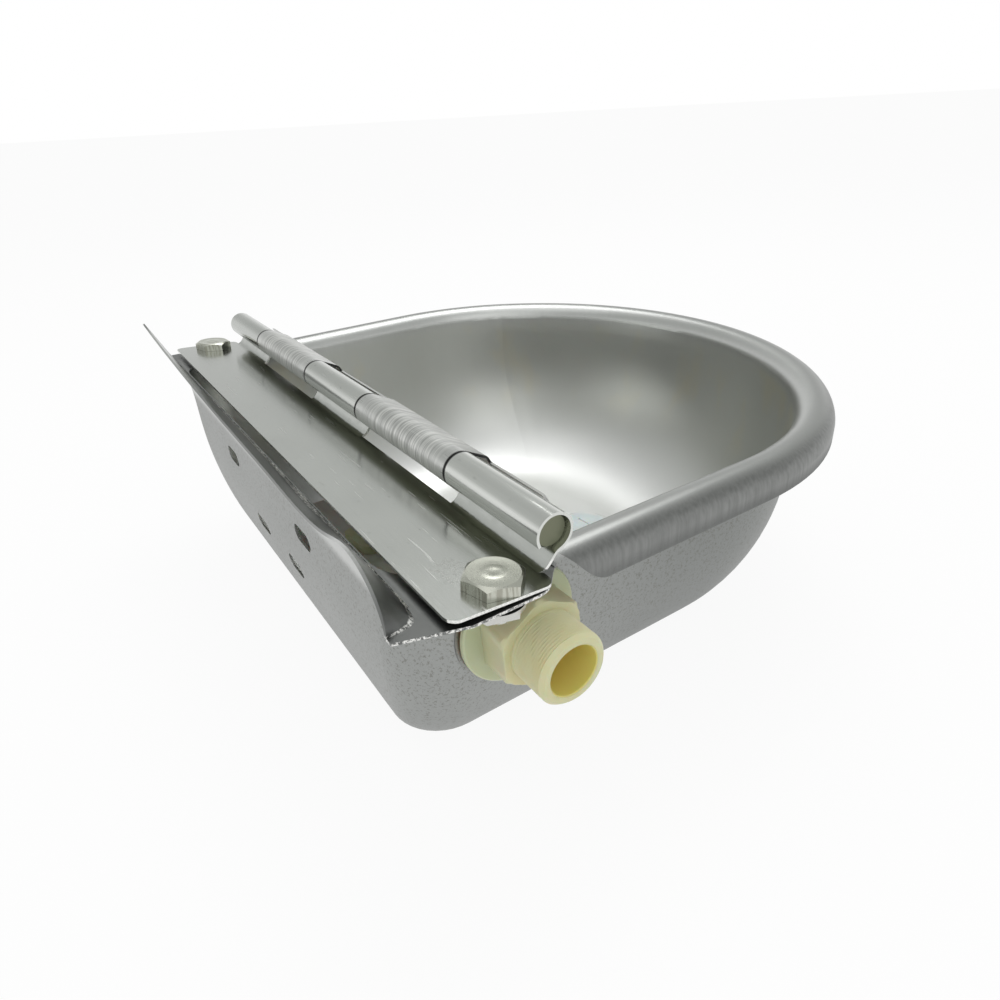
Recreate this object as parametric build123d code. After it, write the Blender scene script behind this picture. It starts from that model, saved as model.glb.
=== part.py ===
from build123d import *
import os
from math import atan2, cos, degrees, radians, sin, sqrt, tan

# Livestock drinking bowl: a deep-drawn steel bowl with a rolled rim, a bolted cover
# plate with rolled hinge knuckles, a hinged splash flap and a float valve under the cover.
# Millimetres. Origin: centre of the flat base. +Z up, +Y towards the wall that the bowl
# hangs on, +X away from the water inlet.

# ---- bowl shell ------------------------------------------------------------------
SHEET = 1.0                 # thickness of the drawn sheet
HINGE_Y = 75.0              # hinge line, measured from the centre of the base
COVER_Z = 113.0             # top of the cover plate at the hinge line
HALF_WIDTH = 144.4          # outside of the side walls below the rim
BACK_Y = HINGE_Y + 44.0     # outside of the back wall
CORNER_R = 22.0             # plan radius of the two back corners
ARC_Y = HINGE_Y - 109.2     # where the straight sides turn into the rounded front
FRONT_REACH = 131.6         # from ARC_Y to the outside of the front wall
SIDE_ARC_R = 117.3          # radius of the two side arcs of the front
RIM_R = 8.7                 # outer radius of the rolled rim
RIM_SPRING_Z = COVER_Z - 9.5        # height where the rim's arch springs from the wall
SKIRT_DROP = 5.7            # length of the rim's skirt below that height
RIM_END_Y = HINGE_Y - 3.5   # where the skirt has run out into the flat ear
DRAFT = 0.02                # slope of the upper walls
ROUND_H = 83.0              # height of the rounding between wall and base
ROUND_SIDE, ROUND_BACK, ROUND_FRONT = 64.5, 28.0, 73.0    # its reach inwards

# ---- ears and back lip -----------------------------------------------------------
EAR_X = 170.5               # half length over the two ears
EAR_FRONT_Y = HINGE_Y + 3.0
EAR_SLANT_Y, EAR_BACK_Y = HINGE_Y + 33.0, HINGE_Y + 55.0    # the inlet's ear narrows between
EAR_TIP_X = 163.5           # its width at the back, where it turns up into the lip
EAR_TOP_Z = RIM_SPRING_Z + RIM_R
LIP_FOLD_Y = BACK_Y - SHEET / 2
CREST_X = HALF_WIDTH - SHEET + RIM_R     # crest line of the rim along the sides
SHOULDER_Y = BACK_Y - CORNER_R          # here the rim's arch gives way to an upright wall

# ---- cover plate, hinge and flap, in the cover's own frame -----------------------
COVER_TILT = 3.84           # degrees, the cover rises towards the wall
COVER_HALF, COVER_BACK = 170.0, 40.0
COVER_CORNER_R = 4.0
EAR_TIP_Y = 3.5             # front edge of the cover's ears, behind the hinge line
PIN_Y, PIN_H = -0.85, 12.0  # hinge axis, before the hinge line and above the cover's top face
KNUCKLE_R = 6.95
CURL_END = -32.0            # angle at which a knuckle's free end stops, low at the back
PIN_R = KNUCKLE_R - SHEET - 0.05
PIN_RECESS = 2.5
BARREL_HALF = 163.0         # half length over the knuckles
KNUCKLE_CUTS = (108.0, 31.0)    # distances from the middle where knuckles meet
KNUCKLE_GAP = 0.5
BOLT_X, BOLT_Y = 161.0, 20.0
BOLT_R, BOLT_AF, BOLT_HEAD = 5.0, 17.0, 6.4
NUT_H, WASHER_R, WASHER_T = 8.0, 10.0, 1.6
FLAP_HALF, FLAP_LENGTH, FLAP_LEAN = 140.0, 66.0, 32.0
# from the cover's top face down to the washer's upper side, along the bolt
EAR_UNDER = (BOLT_Y * sin(radians(COVER_TILT)) + COVER_Z - EAR_TOP_Z + SHEET
             + WASHER_R * tan(radians(COVER_TILT)) + 0.05)
FLAP_BEND = (-12.3, 2.0)    # where the flap bends down, from the hinge axis
FLAP_FOOT_HALF = 128.0      # half length of the flap's lower edge

# ---- float valve -----------------------------------------------------------------
VALVE_Y, VALVE_Z = HINGE_Y + 1.95, COVER_Z - 30.4
THREAD_R = 13.22            # G 3/4 pipe thread
BORE_R = 9.2
INLET_END_X, HEX_FRONT_X = -176.6, -160.5
HEX_AF, HEX_TURN = 31.0, 27.0
FLANGE_R, FLANGE_T, GASKET_T = 22.9, 2.0, 1.0
LAND_R = 24.0               # flat land pressed into the side wall for the valve
INNER_GASKET_T = 1.5
LOCK_NUT_AF, LOCK_NUT_T = 36.0, 8.0
SHANK_END_X = -118.0
HEAD_START_X, HEAD_END_X, HEAD_R = -131.0, -92.0, 17.0
SEAT_R, SEAT_BORE_R, SEAT_TIP_X = 7.0, 2.5, -109.0
PLUNGER_R, RUNNING = 6.0, 0.05      # plunger radius and running clearance
SEAL_R, SEAL_T = 4.2, 2.5
PIVOT_X, PIVOT_DROP = -84.0, 12.0   # float lever's pivot, below the valve's axis
FLOAT_DROP, FLOAT_SWING = 9.0, 20.0    # degrees the float hangs at rest, and its swing
CAM_R, LEVER_HALF = 3.0, 9.2
PIN2_R = 2.0
EAR_GAP, EAR_T = 0.3, 3.5           # clevis ears beside the lever's hub
FLOAT_START, FLOAT_LENGTH = 38.0, 100.0     # from the pivot, along the lever
FLOAT_WIDTH, FLOAT_HEIGHT, FLOAT_TOP = 50.0, 30.0, -3.0

# ---- drain and wall holes --------------------------------------------------------
DRAIN_X, DRAIN_Y, DRAIN_LIFT = -12.0, HINGE_Y - 141.0, 2.0
DRAIN_HOLE_R, DRAIN_HEAD_R, DRAIN_HEAD_T = 9.0, 13.5, 2.5
DRAIN_SEAL_T = 1.0
SLOT_W, SLOT_L = 8.0, 18.0
SLOTS = ((51.0, COVER_Z - 27.0), (24.0, COVER_Z - 56.0))    # x and z of each pair


# ================================ the bowl shell ==================================
def front_edges(side, front, start_y):
    """Right side, rounded front and left side of the plan, set in from the outside."""
    half, reach = HALF_WIDTH - side, FRONT_REACH - front
    arc = SIDE_ARC_R - (side + front) / 2
    off = half - arc
    nose = (off ** 2 + reach ** 2 - arc ** 2) / (2 * (reach - arc))
    nose_y = ARC_Y - reach + nose
    turn = degrees(atan2(nose_y - ARC_Y, off))
    return [
        Line((half, start_y), (half, ARC_Y)),
        CenterArc((off, ARC_Y), arc, 0, -turn),
        CenterArc((0, nose_y), nose, -turn, 2 * turn - 180),
        CenterArc((-off, ARC_Y), arc, 180 + turn, -turn),
        Line((-half, ARC_Y), (-half, start_y)),
    ]


def plan_ring(side, back, front, corner=CORNER_R):
    """Closed D-shaped plan of the bowl, set in by side, back and front."""
    half, rear = HALF_WIDTH - side, BACK_Y - back
    x, y = half - corner, rear - corner
    return Wire(front_edges(side, front, y) + [
        CenterArc((-x, y), corner, 180, -90),
        Line((-x, rear), (x, rear)),
        CenterArc((x, y), corner, 90, -90),
    ])


def wall_station(turn, skin):
    """Plan ring where the rounding has turned by turn degrees, skin in from outside."""
    t = radians(turn)
    lean = DRAFT * (RIM_SPRING_Z - ROUND_H)
    side, back, front = (lean + reach - (reach - skin) * cos(t)
                         for reach in (ROUND_SIDE, ROUND_BACK, ROUND_FRONT))
    z = ROUND_H - (ROUND_H - skin) * sin(t)
    return Pos(0, 0, z) * plan_ring(side, back, front, CORNER_R - skin)


def deep_form(skin):
    """Solid inside the drawn wall, from the base to where the rim springs."""
    rings = [Pos(0, 0, RIM_SPRING_Z) * plan_ring(skin, skin, skin, CORNER_R - skin)]
    rings += [wall_station(turn, skin) for turn in (0, 15, 30, 45, 60, 75, 90)]
    return Solid.make_loft(rings)


def rim():
    """Rolled rim with its skirt, round the two sides and the front."""
    start = Plane((CREST_X, SHOULDER_Y, RIM_SPRING_Z),
                  x_dir=(1, 0, 0), z_dir=(0, -1, 0))
    arch = (Circle(RIM_R) - Circle(RIM_R - SHEET)) & Pos(0, RIM_R / 2) * Rectangle(3 * RIM_R, RIM_R)
    skirt = Pos(RIM_R - SHEET / 2, -SKIRT_DROP / 2) * Rectangle(SHEET, SKIRT_DROP)
    centre = SHEET - RIM_R
    path = Wire(front_edges(centre, centre, SHOULDER_Y))
    return sweep(start * (arch + skirt), path=Pos(0, 0, RIM_SPRING_Z) * path)


def skirt_cutter():
    """Takes the outer half of the right rim away behind the S-shaped end of its skirt."""
    y, z = HINGE_Y, COVER_Z
    low, top = RIM_SPRING_Z - SKIRT_DROP - 1, EAR_TOP_Z + 1
    start, end = (y - 28.0, low + 0.8), (RIM_END_Y, z)
    s_curve = Spline(start, (y - 20.5, z - 13.2), (y - 14.8, z - 7.9), (y - 9.5, z - 2.4), end)
    rest = Polyline(end, (RIM_END_Y, top), (BACK_Y, top), (BACK_Y, low), (y - 28.0, low), start)
    side_view = Plane((CREST_X, 0, 0), x_dir=(0, 1, 0), z_dir=(1, 0, 0))
    return extrude(side_view * make_face(s_curve + rest), RIM_R + 2)


def flange():
    """Two flat ears and the narrow band that joins them to the back wall."""
    broad_y, rim_x = EAR_FRONT_Y + 8, CREST_X + RIM_R
    ears = make_face(Polyline(
        (EAR_X, broad_y), (EAR_X, LIP_FOLD_Y), (-CREST_X, LIP_FOLD_Y), (-CREST_X - RIM_R, EAR_BACK_Y),
        (-EAR_TIP_X, EAR_BACK_Y), (-EAR_X, EAR_SLANT_Y), (-EAR_X, broad_y), close=True))
    flare = Spline((rim_x, RIM_END_Y), (EAR_X, broad_y), tangents=((1, 2), (0, 1)))
    neck = make_face(flare + Polyline((EAR_X, broad_y), (0, broad_y), (0, RIM_END_Y), (rim_x, RIM_END_Y)))
    neck += mirror(neck, about=Plane.YZ)
    inside = make_face(plan_ring(SHEET, SHEET, SHEET, CORNER_R - SHEET))
    arched = Pos(0, (RIM_END_Y + SHOULDER_Y) / 2) * Rectangle(2 * CREST_X, SHOULDER_Y - RIM_END_Y)
    plan = ears + neck - inside - arched
    return extrude(Pos(0, 0, EAR_TOP_Z - SHEET) * plan, SHEET)


def back_neck():
    """Upright stretch of the back wall above the rim's spring line, with its two webs."""
    ring = make_face(plan_ring(0, 0, 0)) - make_face(plan_ring(SHEET, SHEET, SHEET, CORNER_R - SHEET))
    back = Pos(0, (SHOULDER_Y + BACK_Y) / 2) * Rectangle(2 * HALF_WIDTH, BACK_Y - SHOULDER_Y)
    neck = extrude(Pos(0, 0, RIM_SPRING_Z) * (ring & back), RIM_R - SHEET)
    view = Plane((CREST_X, SHOULDER_Y, RIM_SPRING_Z), x_dir=(1, 0, 0), z_dir=(0, -1, 0))
    corner = Pos(-RIM_R / 2, RIM_R / 2) * Rectangle(RIM_R, RIM_R) - Circle(RIM_R - SHEET)
    web = extrude(view * corner, -SHEET)
    return neck + web + mirror(web, about=Plane.YZ)


def back_lip():
    """Flared lip behind the cover: low in the middle, turned up at its two ends."""
    y, z = HINGE_Y, COVER_Z
    edge = Spline((166, y + 54, z + 22), (110, y + 53, z + 15), (60, y + 51.5, z + 9),
                  (0, y + 50.5, z + 5), (-50, y + 50.5, z + 4), (-90, y + 50.5, z + 3.2),
                  (-112, y + 51.5, z + 8), (-132, y + 53.5, z + 15.5), (-147, y + 54.5, z + 17),
                  (-156, y + 54.5, z + 11.5), (-161, y + 55, z - 1))
    fold = Line((166, LIP_FOLD_Y, EAR_TOP_Z - 0.5), (-161, LIP_FOLD_Y, EAR_TOP_Z - 0.5))
    return Solid.thicken(Face.make_surface_from_curves(fold.edge(), edge.edge()), SHEET)


def drain_rise():
    """Raised seat round the drain hole, which keeps the plug's bead above the base."""
    wide, narrow = DRAIN_HEAD_R + 9, DRAIN_HEAD_R + 4
    profile = Polyline((wide, 0), (wide, SHEET), (wide - 0.5, SHEET), (narrow, DRAIN_LIFT + SHEET),
                       (DRAIN_HOLE_R, DRAIN_LIFT + SHEET), (DRAIN_HOLE_R, DRAIN_LIFT),
                       (narrow - 0.5, DRAIN_LIFT), (wide - 1, 0), close=True)
    seat = revolve(Plane.XZ * make_face(profile), Axis.Z)
    return Pos(DRAIN_X, DRAIN_Y, 0) * seat


def along_x(radius, start, end, y=VALVE_Y, z=VALVE_Z):
    """Round bar along X between two x positions."""
    bar = Plane((start, y, z), x_dir=(0, 1, 0), z_dir=(1, 0, 0)) * Circle(radius)
    return extrude(bar, end - start)


def valve_land(inside):
    """Flat round land in the side wall, pressed out to meet the valve's flange."""
    land = along_x(LAND_R, -HALF_WIDTH, -HALF_WIDTH + 7) - inside
    below = Pos(0, 0, RIM_SPRING_Z - 50) * Box(4 * EAR_X, 4 * EAR_X, 100)
    return land & below


def wall_slots():
    """Four slotted holes in the back wall for the wall screws."""
    slot = extrude(Plane.XZ.offset(-BACK_Y - 5) * SlotOverall(SLOT_L, SLOT_W), 40)
    return [Pos(side * x, 0, z) * slot for x, z in SLOTS for side in (-1, 1)]


def bowl_shell():
    """One drawn sheet: deep bowl, rolled rim, ears, back lip and all its holes."""
    inside = deep_form(SHEET)
    cutter = skirt_cutter()
    shell = Part() + deep_form(0) - inside
    shell += rim() - cutter - mirror(cutter, about=Plane.YZ)
    shell += [flange(), back_neck(), back_lip(), valve_land(inside)]
    shell -= along_x(LAND_R - SHEET, -HALF_WIDTH + SHEET, -HALF_WIDTH + 9)
    shell -= along_x(THREAD_R + 0.4, -HALF_WIDTH - 5, -HALF_WIDTH + 9)
    shell -= Pos(DRAIN_X, DRAIN_Y, 0) * Cylinder(DRAIN_HEAD_R + 9, 4 * SHEET)
    shell += drain_rise()
    shell -= wall_slots()
    shell -= [bolt_place(side) * Cylinder(BOLT_R + 0.6, 60) for side in (-1, 1)]
    cover_room = Pos(0, COVER_BACK / 2 - 1, 10 - SHEET) * Box(2 * EAR_X, COVER_BACK + 2, 20)
    return shell - cover_frame() * cover_room


# =========================== cover, hinge and fasteners ===========================
def cover_frame():
    """Frame of the cover: origin on its top face at the hinge line, Z along its normal."""
    return Location((0, HINGE_Y, COVER_Z), (COVER_TILT, 0, 0))


def bolt_place(side):
    """Seat of one cover bolt on the cover's top face."""
    return cover_frame() * Pos(side * BOLT_X, BOLT_Y, 0)


def both_bolts(piece):
    """The same fastener at the two bolt places."""
    return Part() + [bolt_place(side) * piece for side in (-1, 1)]


def strip(centre_line):
    """Face of one sheet thickness along a centre line in the side view."""
    return trace(centre_line, SHEET)


def lengthwise(side_view, start, end):
    """Extrudes a side view (Y to the right, Z up) along X between two places."""
    plane = Plane((start, 0, 0), x_dir=(0, 1, 0), z_dir=(1, 0, 0))
    return extrude(plane * side_view, end - start)


def knuckle_curl(leave):
    """Curl round the hinge axis: from its free end over the top to its leaving angle."""
    return CenterArc((PIN_Y, PIN_H), KNUCKLE_R - SHEET / 2, CURL_END, leave - CURL_END)


def leaving_point(leave):
    """Point of the curl's centre line at its leaving angle."""
    r = KNUCKLE_R - SHEET / 2
    return PIN_Y + r * cos(radians(leave)), PIN_H + r * sin(radians(leave))


def cover_knuckle(start, end):
    """Knuckle of the cover: the plate's front edge rises in an S and curls round the pin."""
    leave = 248
    along = (-sin(radians(leave)), cos(radians(leave)))
    bend = Spline(leaving_point(leave), (5.0, -SHEET / 2), tangents=(along, (1, 0)))
    return lengthwise(strip(knuckle_curl(leave) + bend), start, end)


def knuckle_spans():
    """Spans of the five knuckles along X, the cover's at even places."""
    outer, inner = KNUCKLE_CUTS
    ends = (-BARREL_HALF, -outer, -inner, inner, outer, BARREL_HALF)
    gap = KNUCKLE_GAP / 2
    return [(a + gap, b - gap) for a, b in zip(ends, ends[1:])]


def cover_plate():
    """Flat cover with rounded ears and its three rolled knuckles."""
    plan = Pos(0, (COVER_BACK + EAR_TIP_Y) / 2) * RectangleRounded(
        2 * COVER_HALF, COVER_BACK - EAR_TIP_Y, COVER_CORNER_R)
    plan += Pos(0, (COVER_BACK + 3.0) / 2) * Rectangle(2 * BARREL_HALF, COVER_BACK - 3.0 - 2 * COVER_CORNER_R)
    plan += [Pos((a + b) / 2, 6.5) * Rectangle(b - a, 3.2) for a, b in knuckle_spans()[::2]]
    plan -= [Pos(side * BOLT_X, BOLT_Y) * Circle(BOLT_R + 0.5) for side in (-1, 1)]
    plate = extrude(Pos(0, 0, -SHEET) * plan, SHEET)
    plate += [cover_knuckle(a, b) for a, b in knuckle_spans()[::2]]
    return cover_frame() * plate


def flap_profile():
    """Centre line of the flap: curl, short straight, bend and leaning plate."""
    leave = 113
    bend_y, bend_z = FLAP_BEND[0], PIN_H + FLAP_BEND[1]
    lean = radians(FLAP_LEAN)
    foot = (bend_y - FLAP_LENGTH * sin(lean), bend_z - FLAP_LENGTH * cos(lean))
    plate = FilletPolyline(leaving_point(leave), (bend_y, bend_z), foot, radius=3.0)
    return knuckle_curl(leave) + plate


def splash_flap():
    """Leaning flap: a tapered plate whose two knuckles turn on the hinge pin."""
    body = lengthwise(strip(flap_profile()), -FLAP_HALF, FLAP_HALF)
    spans = knuckle_spans()
    hinge_side = Pos(0, FLAP_BEND[0] + 20.6, PIN_H) * Box(3 * FLAP_HALF, 40, 60)
    knuckles = [Pos((a + b) / 2, 0, PIN_H) * Box(b - a, 90, 200) for a, b in (spans[1], spans[3])]
    front = body - hinge_side
    wings = front & lengthwise(Pos(0, -30) * Rectangle(200, 2 * (PIN_H + 30)), -FLAP_HALF, FLAP_HALF)
    rolled = body & (Part() + knuckles)
    drop = FLAP_LENGTH * cos(radians(FLAP_LEAN))
    top_z, foot_z = PIN_H + FLAP_BEND[1], PIN_H + FLAP_BEND[1] - drop
    outline = make_face(Polyline(
        (-FLAP_HALF, top_z + 40), (FLAP_HALF, top_z + 40), (FLAP_HALF, top_z - 12),
        (FLAP_FOOT_HALF, foot_z - 1), (-FLAP_FOOT_HALF, foot_z - 1), (-FLAP_HALF, top_z - 12), close=True))
    outline = fillet(outline.vertices().group_by(Axis.Y)[0], 18)
    trim = extrude(Plane.XZ.offset(-60) * outline, 160)
    return cover_frame() * ((rolled + wings) & trim)


def hinge_pin():
    """Plain pin through all five knuckles, a little short at both ends."""
    length = 2 * (BARREL_HALF - PIN_RECESS)
    pin = chamfer(Cylinder(PIN_R, length).edges().filter_by(GeomType.CIRCLE), 0.5)
    return cover_frame() * Pos(0, PIN_Y, PIN_H) * Rot(0, 90, 0) * pin


def hexagon(flats, height, bevel):
    """Hexagon prism standing on Z = 0, its corners turned off at the top."""
    prism = extrude(RegularPolygon(flats / 2, 6, major_radius=False), height)
    corner_r = flats / sqrt(3)
    profile = Polyline((0, 0), (corner_r + 1, 0), (corner_r + 1, height - 0.5 * bevel - 0.5),
                       (flats / 2 - bevel, height), (0, height), close=True)
    return prism & revolve(Plane.XZ * make_face(profile), Axis.Z)


def cover_bolts():
    """Two hexagon bolts, heads on the cover, shanks down through the ears."""
    head = hexagon(BOLT_AF, BOLT_HEAD, 1.0)
    dimple = Pos(0, 0, BOLT_HEAD) * Cylinder(2.6, 0.6)
    shank = Pos(0, 0, -EAR_UNDER - WASHER_T - NUT_H - 2) * Cylinder(
        BOLT_R, EAR_UNDER + WASHER_T + NUT_H + 2, align=(Align.CENTER, Align.CENTER, Align.MIN))
    return both_bolts(head - dimple + shank)


def cover_washers():
    """Plain washers under the ears."""
    ring = Cylinder(WASHER_R, WASHER_T) - Cylinder(BOLT_R, WASHER_T)
    return both_bolts(Pos(0, 0, -EAR_UNDER - WASHER_T / 2) * ring)


def cover_nuts():
    """Hexagon nuts under the washers."""
    nut = Rot(180, 0, 0) * hexagon(BOLT_AF, NUT_H, 1.0) - Cylinder(BOLT_R, 3 * NUT_H)
    return both_bolts(Pos(0, 0, -EAR_UNDER - WASHER_T) * nut)


# ================================= the float valve =================================
def ring_x(outer, inner, start, end):
    """Ring round the valve's axis between two x positions."""
    return along_x(outer, start, end) - along_x(inner, start, end)


def hex_x(flats, start, end, turn):
    """Hexagon prism along the valve's axis."""
    plane = Plane((start, VALVE_Y, VALVE_Z), x_dir=(0, 1, 0), z_dir=(1, 0, 0))
    return extrude(plane * Rot(0, 0, turn) * RegularPolygon(flats / 2, 6, major_radius=False), end - start)


def valve_body():
    """Inlet stub with its hexagon, the flange against the wall and the shank inside."""
    flange_x = -HALF_WIDTH - GASKET_T - FLANGE_T
    stub = along_x(THREAD_R, INLET_END_X, HEX_FRONT_X)
    stub = chamfer(stub.edges().group_by(Axis.X)[0], 1.4)
    body = stub + hex_x(HEX_AF, HEX_FRONT_X, flange_x, HEX_TURN)
    body += along_x(FLANGE_R, flange_x, flange_x + FLANGE_T)
    body += along_x(THREAD_R, flange_x, SHANK_END_X)
    return body - along_x(BORE_R, INLET_END_X - 1, SHANK_END_X + 1)


def outer_gasket():
    """Rubber ring between the flange and the wall."""
    return ring_x(FLANGE_R - 2.2, THREAD_R, -HALF_WIDTH - GASKET_T, -HALF_WIDTH)


def inner_gasket():
    """Rubber ring between the wall and the lock nut."""
    start = -HALF_WIDTH + SHEET
    return ring_x(LOCK_NUT_AF / 2 + 2, THREAD_R, start, start + INNER_GASKET_T)


def lock_nut():
    """Thin hexagon nut that clamps the valve body to the wall."""
    start = -HALF_WIDTH + SHEET + INNER_GASKET_T
    end = start + LOCK_NUT_T
    return hex_x(LOCK_NUT_AF, start, end, 0) - along_x(THREAD_R, start - 1, end + 1)


def valve_head():
    """Housing screwed on the shank: grip ribs, plunger guide, outlet and clevis ears."""
    head = along_x(HEAD_R, HEAD_START_X, HEAD_END_X)
    grip = Location((HEAD_START_X + 6, VALVE_Y, VALVE_Z), (0, 90, 0))
    head += [grip * place * Cylinder(1.6, 11) for place in PolarLocations(HEAD_R, 12).locations]
    head -= along_x(THREAD_R, HEAD_START_X - 1, SHANK_END_X)
    head -= along_x(SEAT_R, SHANK_END_X - 1, SHANK_END_X + 7)
    head -= along_x(HEAD_R - 4, SHANK_END_X + 6, SHANK_END_X + 14)
    head -= along_x(PLUNGER_R + RUNNING, SHANK_END_X + 5, HEAD_END_X + 1)
    head -= Pos(SHANK_END_X + 10, VALVE_Y, VALVE_Z - HEAD_R) * Box(8, 16, 2 * HEAD_R)
    inner = LEVER_HALF + EAR_GAP
    side = Plane.XZ * (Pos((HEAD_END_X + PIVOT_X) / 2 - 1, 0) * Rectangle(PIVOT_X - HEAD_END_X + 2, 12)
                       + Pos(PIVOT_X, 0) * Circle(6) - Pos(PIVOT_X, 0) * Circle(PIN2_R))
    ears = [Pos(0, VALVE_Y + place, VALVE_Z - PIVOT_DROP) * extrude(side, EAR_T)
            for place in (-inner, inner + EAR_T)]
    return head + ears


def nozzle_seat():
    """Brass nozzle in the head's partition, its tip towards the plunger."""
    nozzle = along_x(SEAT_R, SHANK_END_X, SHANK_END_X + 6)
    tip = Plane((SHANK_END_X + 6, VALVE_Y, VALVE_Z), x_dir=(0, 1, 0), z_dir=(1, 0, 0)) * Circle(SEAT_R - 1.5)
    nozzle += extrude(tip, SEAT_TIP_X - SHANK_END_X - 6, taper=25)
    return nozzle - along_x(SEAT_BORE_R, SHANK_END_X - 1, SEAT_TIP_X + 1)


def plunger_end():
    """x of the plunger's rear face at rest, just off the lever's cam."""
    return PIVOT_X + PIVOT_DROP * sin(radians(FLOAT_DROP)) - CAM_R - 0.25


def seal_front():
    """x of the seal's face at rest, open by the plunger's whole travel."""
    return SEAT_TIP_X + PIVOT_DROP * radians(FLOAT_SWING) + 0.1


def plunger():
    """Round plunger with a pocket for its seal."""
    body = along_x(PLUNGER_R, seal_front() + 0.8, plunger_end())
    return body - along_x(SEAL_R, seal_front(), seal_front() + SEAL_T)


def plunger_seal():
    """Rubber disc that shuts the nozzle."""
    return along_x(SEAL_R, seal_front(), seal_front() + SEAL_T)


def lever_place():
    """Frame of the lever at its pivot, X along the lever, hanging at rest."""
    return Location((PIVOT_X, VALVE_Y, VALVE_Z - PIVOT_DROP), (0, FLOAT_DROP, 0))


def float_lever():
    """Lever: hub on the pin, cam towards the plunger and an arm over the float."""
    hub = extrude(Plane.XZ * Circle(5.5), LEVER_HALF, both=True)
    cam = Pos(0, PIVOT_DROP / 2) * Rectangle(CAM_R, PIVOT_DROP) + Pos(0, PIVOT_DROP) * Circle(CAM_R)
    hub += extrude(Plane.XZ * cam, 4, both=True)
    plate_end = FLOAT_START + 34
    arm = Pos(0, -1) * Rectangle(2 * plate_end, 4) & Pos(plate_end / 2 + 1, 0) * Rectangle(plate_end, 20)
    arm = extrude(Plane.XZ * arm, 7, both=True)
    pad = Pos(FLOAT_START + 18, 0, -1) * Box(30, 26, 4)
    pad = fillet(pad.edges().filter_by(Axis.Z), 5)
    lever = hub + arm + pad - Rot(90, 0, 0) * Cylinder(PIN2_R + RUNNING, 40)
    return lever_place() * (lever - screw_places() * Cylinder(2.2, 30))


def screw_places():
    """Places of the two float screws on the lever's pad."""
    return Locations((FLOAT_START + 10, 0, 0), (FLOAT_START + 26, 0, 0)).locations


def float_screws():
    """Two pan-head screws down through the lever's pad into the float."""
    head = Pos(0, 0, 1 + 1.2) * Cylinder(4.0, 2.4)
    screw = chamfer(head.edges().group_by(Axis.Z)[-1], 0.8) + Pos(0, 0, -6) * Cylinder(2.2, 14)
    return Part() + [lever_place() * place * screw for place in screw_places()]


def lever_pin():
    """Pivot pin of the lever, through both clevis ears."""
    length = 2 * (LEVER_HALF + EAR_GAP + EAR_T + 2.0)
    return Pos(PIVOT_X, VALVE_Y, VALVE_Z - PIVOT_DROP) * Rot(90, 0, 0) * Cylinder(PIN2_R, length)


def pin_clips():
    """Spring clips on both ends of the pivot pin."""
    place = LEVER_HALF + EAR_GAP + EAR_T + 0.4
    clip = Rot(90, 0, 0) * (Cylinder(4, 0.8) - Cylinder(PIN2_R, 0.8) - Pos(0, -3, 0) * Box(2, 6, 2))
    return Part() + [Pos(PIVOT_X, VALVE_Y + side * place, VALVE_Z - PIVOT_DROP) * clip for side in (-1, 1)]


def float_block():
    """Oblong float with rounded edges under the lever's pad."""
    centre = Pos(FLOAT_START + FLOAT_LENGTH / 2, 0, FLOAT_TOP - FLOAT_HEIGHT / 2)
    block = Box(FLOAT_LENGTH, FLOAT_WIDTH, FLOAT_HEIGHT)
    block = fillet(block.edges().filter_by(Axis.Z), 12)
    block = fillet(block.edges().group_by(Axis.Z)[-1] + block.edges().group_by(Axis.Z)[0], 4)
    holes = [place * Cylinder(2.2, 26) for place in screw_places()]
    return lever_place() * (centre * block - holes)


# ==================================== the drain ====================================
def drain_plug():
    """Plastic plug with a coin slot, lying in the raised seat of the floor."""
    seat = DRAIN_LIFT + SHEET + RUNNING + DRAIN_SEAL_T
    bottom = (Align.CENTER, Align.CENTER, Align.MIN)
    head = Cylinder(DRAIN_HEAD_R, DRAIN_HEAD_T, align=bottom)
    head = chamfer(head.edges().group_by(Axis.Z)[-1], 0.7) - Pos(0, 0, DRAIN_HEAD_T) * Box(12, 1.8, 1.6)
    stem = Pos(0, 0, 0.5 - seat) * Cylinder(DRAIN_HOLE_R - 0.3, seat - 0.5, align=bottom)
    return Pos(DRAIN_X, DRAIN_Y, seat) * (head + stem)


def drain_seal():
    """Rubber washer under the plug's head."""
    ring = Cylinder(DRAIN_HEAD_R - 1.5, DRAIN_SEAL_T) - Cylinder(DRAIN_HOLE_R - 0.3, DRAIN_SEAL_T)
    return Pos(DRAIN_X, DRAIN_Y, DRAIN_LIFT + SHEET + RUNNING + DRAIN_SEAL_T / 2) * ring


PIECES = (
    bowl_shell, cover_plate, hinge_pin, splash_flap, cover_bolts, cover_washers, cover_nuts,
    valve_body, outer_gasket, inner_gasket, lock_nut, valve_head, nozzle_seat, plunger,
    plunger_seal, float_lever, lever_pin, pin_clips, float_block, float_screws,
    drain_plug, drain_seal,
)


def main():
    """Writes one STEP file for each piece."""
    os.makedirs("parts", exist_ok=True)
    for piece in PIECES:
        export_step(piece(), f"parts/{piece.__name__}.step")


if __name__ == "__main__":
    main()
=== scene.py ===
"""Looks of a livestock drinking bowl: finishes, fine forms, studio and camera."""
import logging
import math
from dataclasses import dataclass, field
from enum import Enum
from typing import Iterable, Optional, Union

import bmesh
import bpy
from mathutils import Matrix, Vector


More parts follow.
